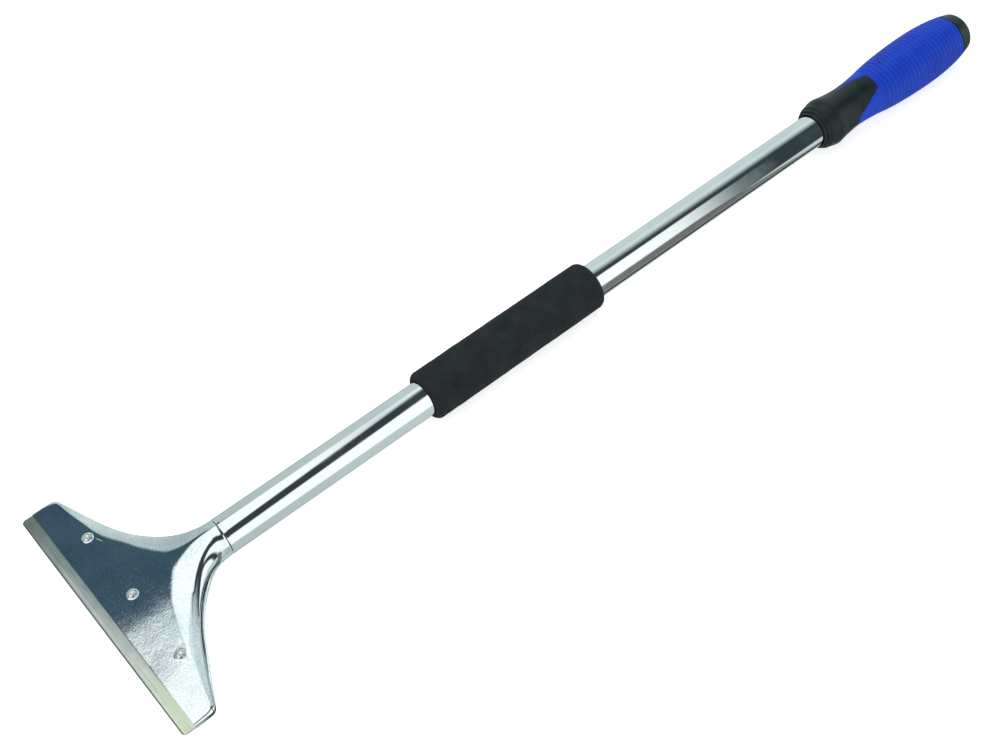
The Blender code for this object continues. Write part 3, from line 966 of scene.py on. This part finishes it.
def end_cap():
    """Blunt cap with a rounded rim, a shallow ring in its end and a plug for the grip's bore."""
    start, end = COVER_END_Y + GAP, TOTAL_LENGTH
    lip, flat, centre = 0.3 * MM, 7.4 * MM, 0.6 * MM
    plug, plug_start = TUBE_RADIUS, CAP_LOW.y - EDGE_Y
    profile = [(end, centre), (end, flat - 1.6 * MM), (end - 0.35 * MM, flat - 1.3 * MM)]
    profile += [(end - 0.35 * MM, flat - 0.9 * MM), (end, flat - 0.6 * MM), (end, flat)]
    rim = [(590.75, 8.6), (590.2, 9.9), (589.5, 10.8), (588.7, 11.5)]
    profile += [(y * MM, radius * MM) for y, radius in rim]
    profile += [(y, grip_radius(y)) for y in spread(588 * MM, start + lip, 12)]
    for turn in spread(0, math.pi / 2, 3)[1:]:
        y = start + lip * (1 - math.sin(turn))
        profile.append((y, grip_radius(start) - lip * (1 - math.cos(turn))))
    profile += [(start, plug), (plug_start + 1 * MM, plug), (plug_start, plug - 1 * MM)]
    profile += [(plug_start, centre)]
    piece = turned_on_handle("end_cap_fine", profile, TUBE_SEGMENTS, closed=False)
    smooth(piece, 38)
    return piece


# ---- Studio ---------------------------------------------------------------------

CAMERA_PLACE = Vector((0.4267, -0.3315, 0.5553))
CAMERA_AIM = Vector((-0.5717, 0.3619, -0.7363))
CAMERA_UP = Vector((-0.5225, 0.5313, 0.6668))
CAMERA_LENS = 52.49
CAMERA_SHIFT = (0.0002, -0.0139)


def camera():
    data = bpy.data.cameras.new("camera")
    data.lens = CAMERA_LENS
    data.shift_x, data.shift_y = CAMERA_SHIFT
    data.clip_start = 0.01
    eye = bpy.data.objects.new("camera", data)
    bpy.context.scene.collection.objects.link(eye)
    back = -CAMERA_AIM.normalized()
    right = CAMERA_UP.cross(back).normalized()
    up = back.cross(right)
    turn = Matrix((right, up, back)).transposed()
    eye.matrix_world = Matrix.Translation(CAMERA_PLACE) @ turn.to_4x4()
    bpy.context.scene.camera = eye


def floor():
    """Pale floor under the grip's belly and the foam's front, the two places that touch it."""
    belly = Vector((0, EDGE_Y + BELLY_Y, COVER_LOW.z))
    heel = Vector((0, FOAM_LOW.y + FOAM_ROUNDING, FOAM_LOW.z))
    slope = (belly.z - heel.z) / (belly.y - heel.y)
    bm = bmesh.new()
    bmesh.ops.create_grid(bm, x_segments=1, y_segments=1, size=6)
    for vert in bm.verts:
        vert.co.z = heel.z + slope * (vert.co.y - heel.y) - 0.05 * MM
    plane = piece_from("floor", bm)
    material, tree, shader = new_material("floor")
    tint = ramp(tree, grain(tree, 0.4, 2, 0.5), [(0.3, 0.55), (0.7, 0.57)])
    tree.links.new(tint, shader.inputs["Base Color"])
    set_shader(shader, Roughness=0.9, Specular_IOR_Level=0.1)
    set_shader(shader, Emission_Color=(1, 1, 1, 1), Emission_Strength=0.75)
    plane.data.materials.append(material)
    plane.visible_glossy = False


WALL = (0.66, 0.76, 0.75)  # pale grey-green
WHITE = (1.20, 1.24, 1.22)
PALE = (0.88, 1.01, 1.02)
WARM = (0.85, 0.82, 0.82)
CARD = (0.056, 0.10, 0.138)  # dark blue-grey
SHADE = (0.04, 0.056, 0.066)
FLOORING = (0.205, 0.19, 0.187)


def studio_world():
    """Studio surround for the bright metal: strip lights along the handle and dark gaps.

    A direction is read as a turn about the handle's axis (degrees, 0 straight up and
    positive towards +X) and a rise along the handle (degrees, positive towards the grip).
    """
    world = bpy.data.worlds.new("studio")
    bpy.context.scene.world = world
    world.use_nodes = True
    tree = world.node_tree
    direction = node(tree, "ShaderNodeTexCoord").outputs["Generated"]
    x, y, z = node(tree, "ShaderNodeSeparateXYZ", {0: direction}).outputs
    squares = maths(tree, "ADD", maths(tree, "MULTIPLY", x, x), maths(tree, "MULTIPLY", z, z))
    across = maths(tree, "SQRT", squares)
    turn = maths(tree, "MULTIPLY", maths(tree, "ARCTAN2", x, z), 180 / math.pi)
    rise = maths(tree, "MULTIPLY", maths(tree, "ARCTAN2", y, across), 180 / math.pi)

    def step(value, at, soft, up=True):
        """0 to 1 across at, or 1 to 0 when up is False."""
        offset = maths(tree, "DIVIDE", maths(tree, "SUBTRACT", value, at), soft)
        return span(tree, offset, -1, 1, 0 if up else 1, 1 if up else 0)

    def between(value, low, high, soft):
        return maths(tree, "MULTIPLY", step(value, low, soft), step(value, high, soft, False))

    def both(first, second):
        return maths(tree, "MULTIPLY", first, second)

    # the wall darkens towards the direction that grazing rays at the silhouettes look in
    grazing = maths(
        tree, "MINIMUM",
        maths(tree, "ABSOLUTE", maths(tree, "ADD", turn, 142)),
        maths(tree, "ABSOLUTE", maths(tree, "SUBTRACT", turn, 218)),
    )
    brightness = both(span(tree, grazing, 0, 60, 0.62, 1.0), span(tree, rise, 5, 30, 0.82, 1.05))
    high_share = both(step(rise, 15, 3), span(tree, rise, 19, 25, 1, 0.3))
    overhead_end = maths(
        tree, "ADD", span(tree, rise, 8, 19, 28, -16, False), span(tree, rise, 22, 28, 0, 13),
    )
    overhead_soft = span(tree, rise, 10, 28, 3.5, 19, False)
    strip_start = span(tree, rise, 8, 20, 63, 33, False)
    flooring_start = span(tree, rise, 31, 35.5, 98, 142, False)
    # In order: the light box over the front, its paler end towards the grip, the dark card that
    # the plate mirrors, the dark line along the tube, a warm patch in it, the strip light on the
    # +X side, the dim floor past it, and last the bands that the neck's flare mirrors.
    # Each layer covers the ones before it.
    layers = [
        (both(both(step(turn, -36.5, 0.6), step(turn, 60, 5, False)), step(rise, 15, 3, False)), WHITE),
        (both(both(step(turn, -36.9, 2), step(turn, -18, 6, False)), high_share), PALE),
        (both(between(turn, -48, -36.7, 0.8), between(rise, -24, 8, 2.5)), CARD),
        (both(step(turn, overhead_end, overhead_soft), step(turn, strip_start, 4, False)), SHADE),
        (both(between(turn, 29, 39, 3), between(rise, 24, 31, 2)), WARM),
        (both(between(turn, strip_start, 108, 5), step(rise, 31, 3, False)), WHITE),
        (both(between(turn, flooring_start, 150, 6), between(rise, 25, 36, 1.5)), FLOORING),
        (both(between(turn, 12, 117, 6), between(rise, 32, 43, 2.2)), SHADE),
        (both(between(turn, 40, 108, 6), step(rise, 43, 3)), WHITE),
        (both(step(turn, 152, 6), step(rise, 23, 2)), SHADE),
    ]
    colour = blend(tree, brightness, (0, 0, 0, 1), (*WALL, 1))
    for mask, paint in layers:
        colour = blend(tree, mask, colour, (*paint, 1))
    tree.links.new(colour, tree.nodes["Background"].inputs["Color"])


def soft_light(name, place_at, target, size, power):
    """A large soft area light that stays out of the mirror-bright reflections."""
    data = bpy.data.lights.new(name, "AREA")
    data.size = size
    data.energy = power
    lamp = bpy.data.objects.new(name, data)
    bpy.context.scene.collection.objects.link(lamp)
    lamp.location = place_at
    lamp.rotation_euler = (Vector(target) - Vector(place_at)).to_track_quat("-Z", "Y").to_euler()
    lamp.visible_glossy = False


def main():
    bpy.context.scene.view_settings.view_transform = "Standard"
    plated = plated_steel()
    front = head_skin("head_front_fine", 1)
    back = head_skin("head_back_fine", -1)
    finish_piece(front, "head_front_skin", "handle", plated)
    finish_piece(back, "head_back_skin", "handle", plated)
    finish_piece(blade(), "blade", "blade", blade_steel())
    steel = screw_steel()
    for number, name in enumerate(SCREW_NODES, 1):
        screw = clamp_screw(number, *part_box(name))
        finish_piece(screw, name, f"screw_{number}", steel)
    finish_piece(tube(), "handle_tube", "handle", chrome())
    finish_piece(foam_tube(), "foam_sleeve", "handle", foam())
    hard = hard_plastic()
    finish_piece(core(), "grip_core", "handle", hard)
    finish_piece(cover(), "grip_cover", "handle", soft_rubber())
    finish_piece(end_cap(), "end_cap", "handle", hard)

    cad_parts["neck_sleeve"].material_slots[0].material = sleeve_steel()

    camera()
    floor()
    studio_world()
    soft_light("key", (-0.4, 0.3, 1.6), (0, 0, 0), 1.4, 16)
    soft_light("fill", (1.0, -0.9, 1.2), (0, 0, 0), 1.2, 7)


main()
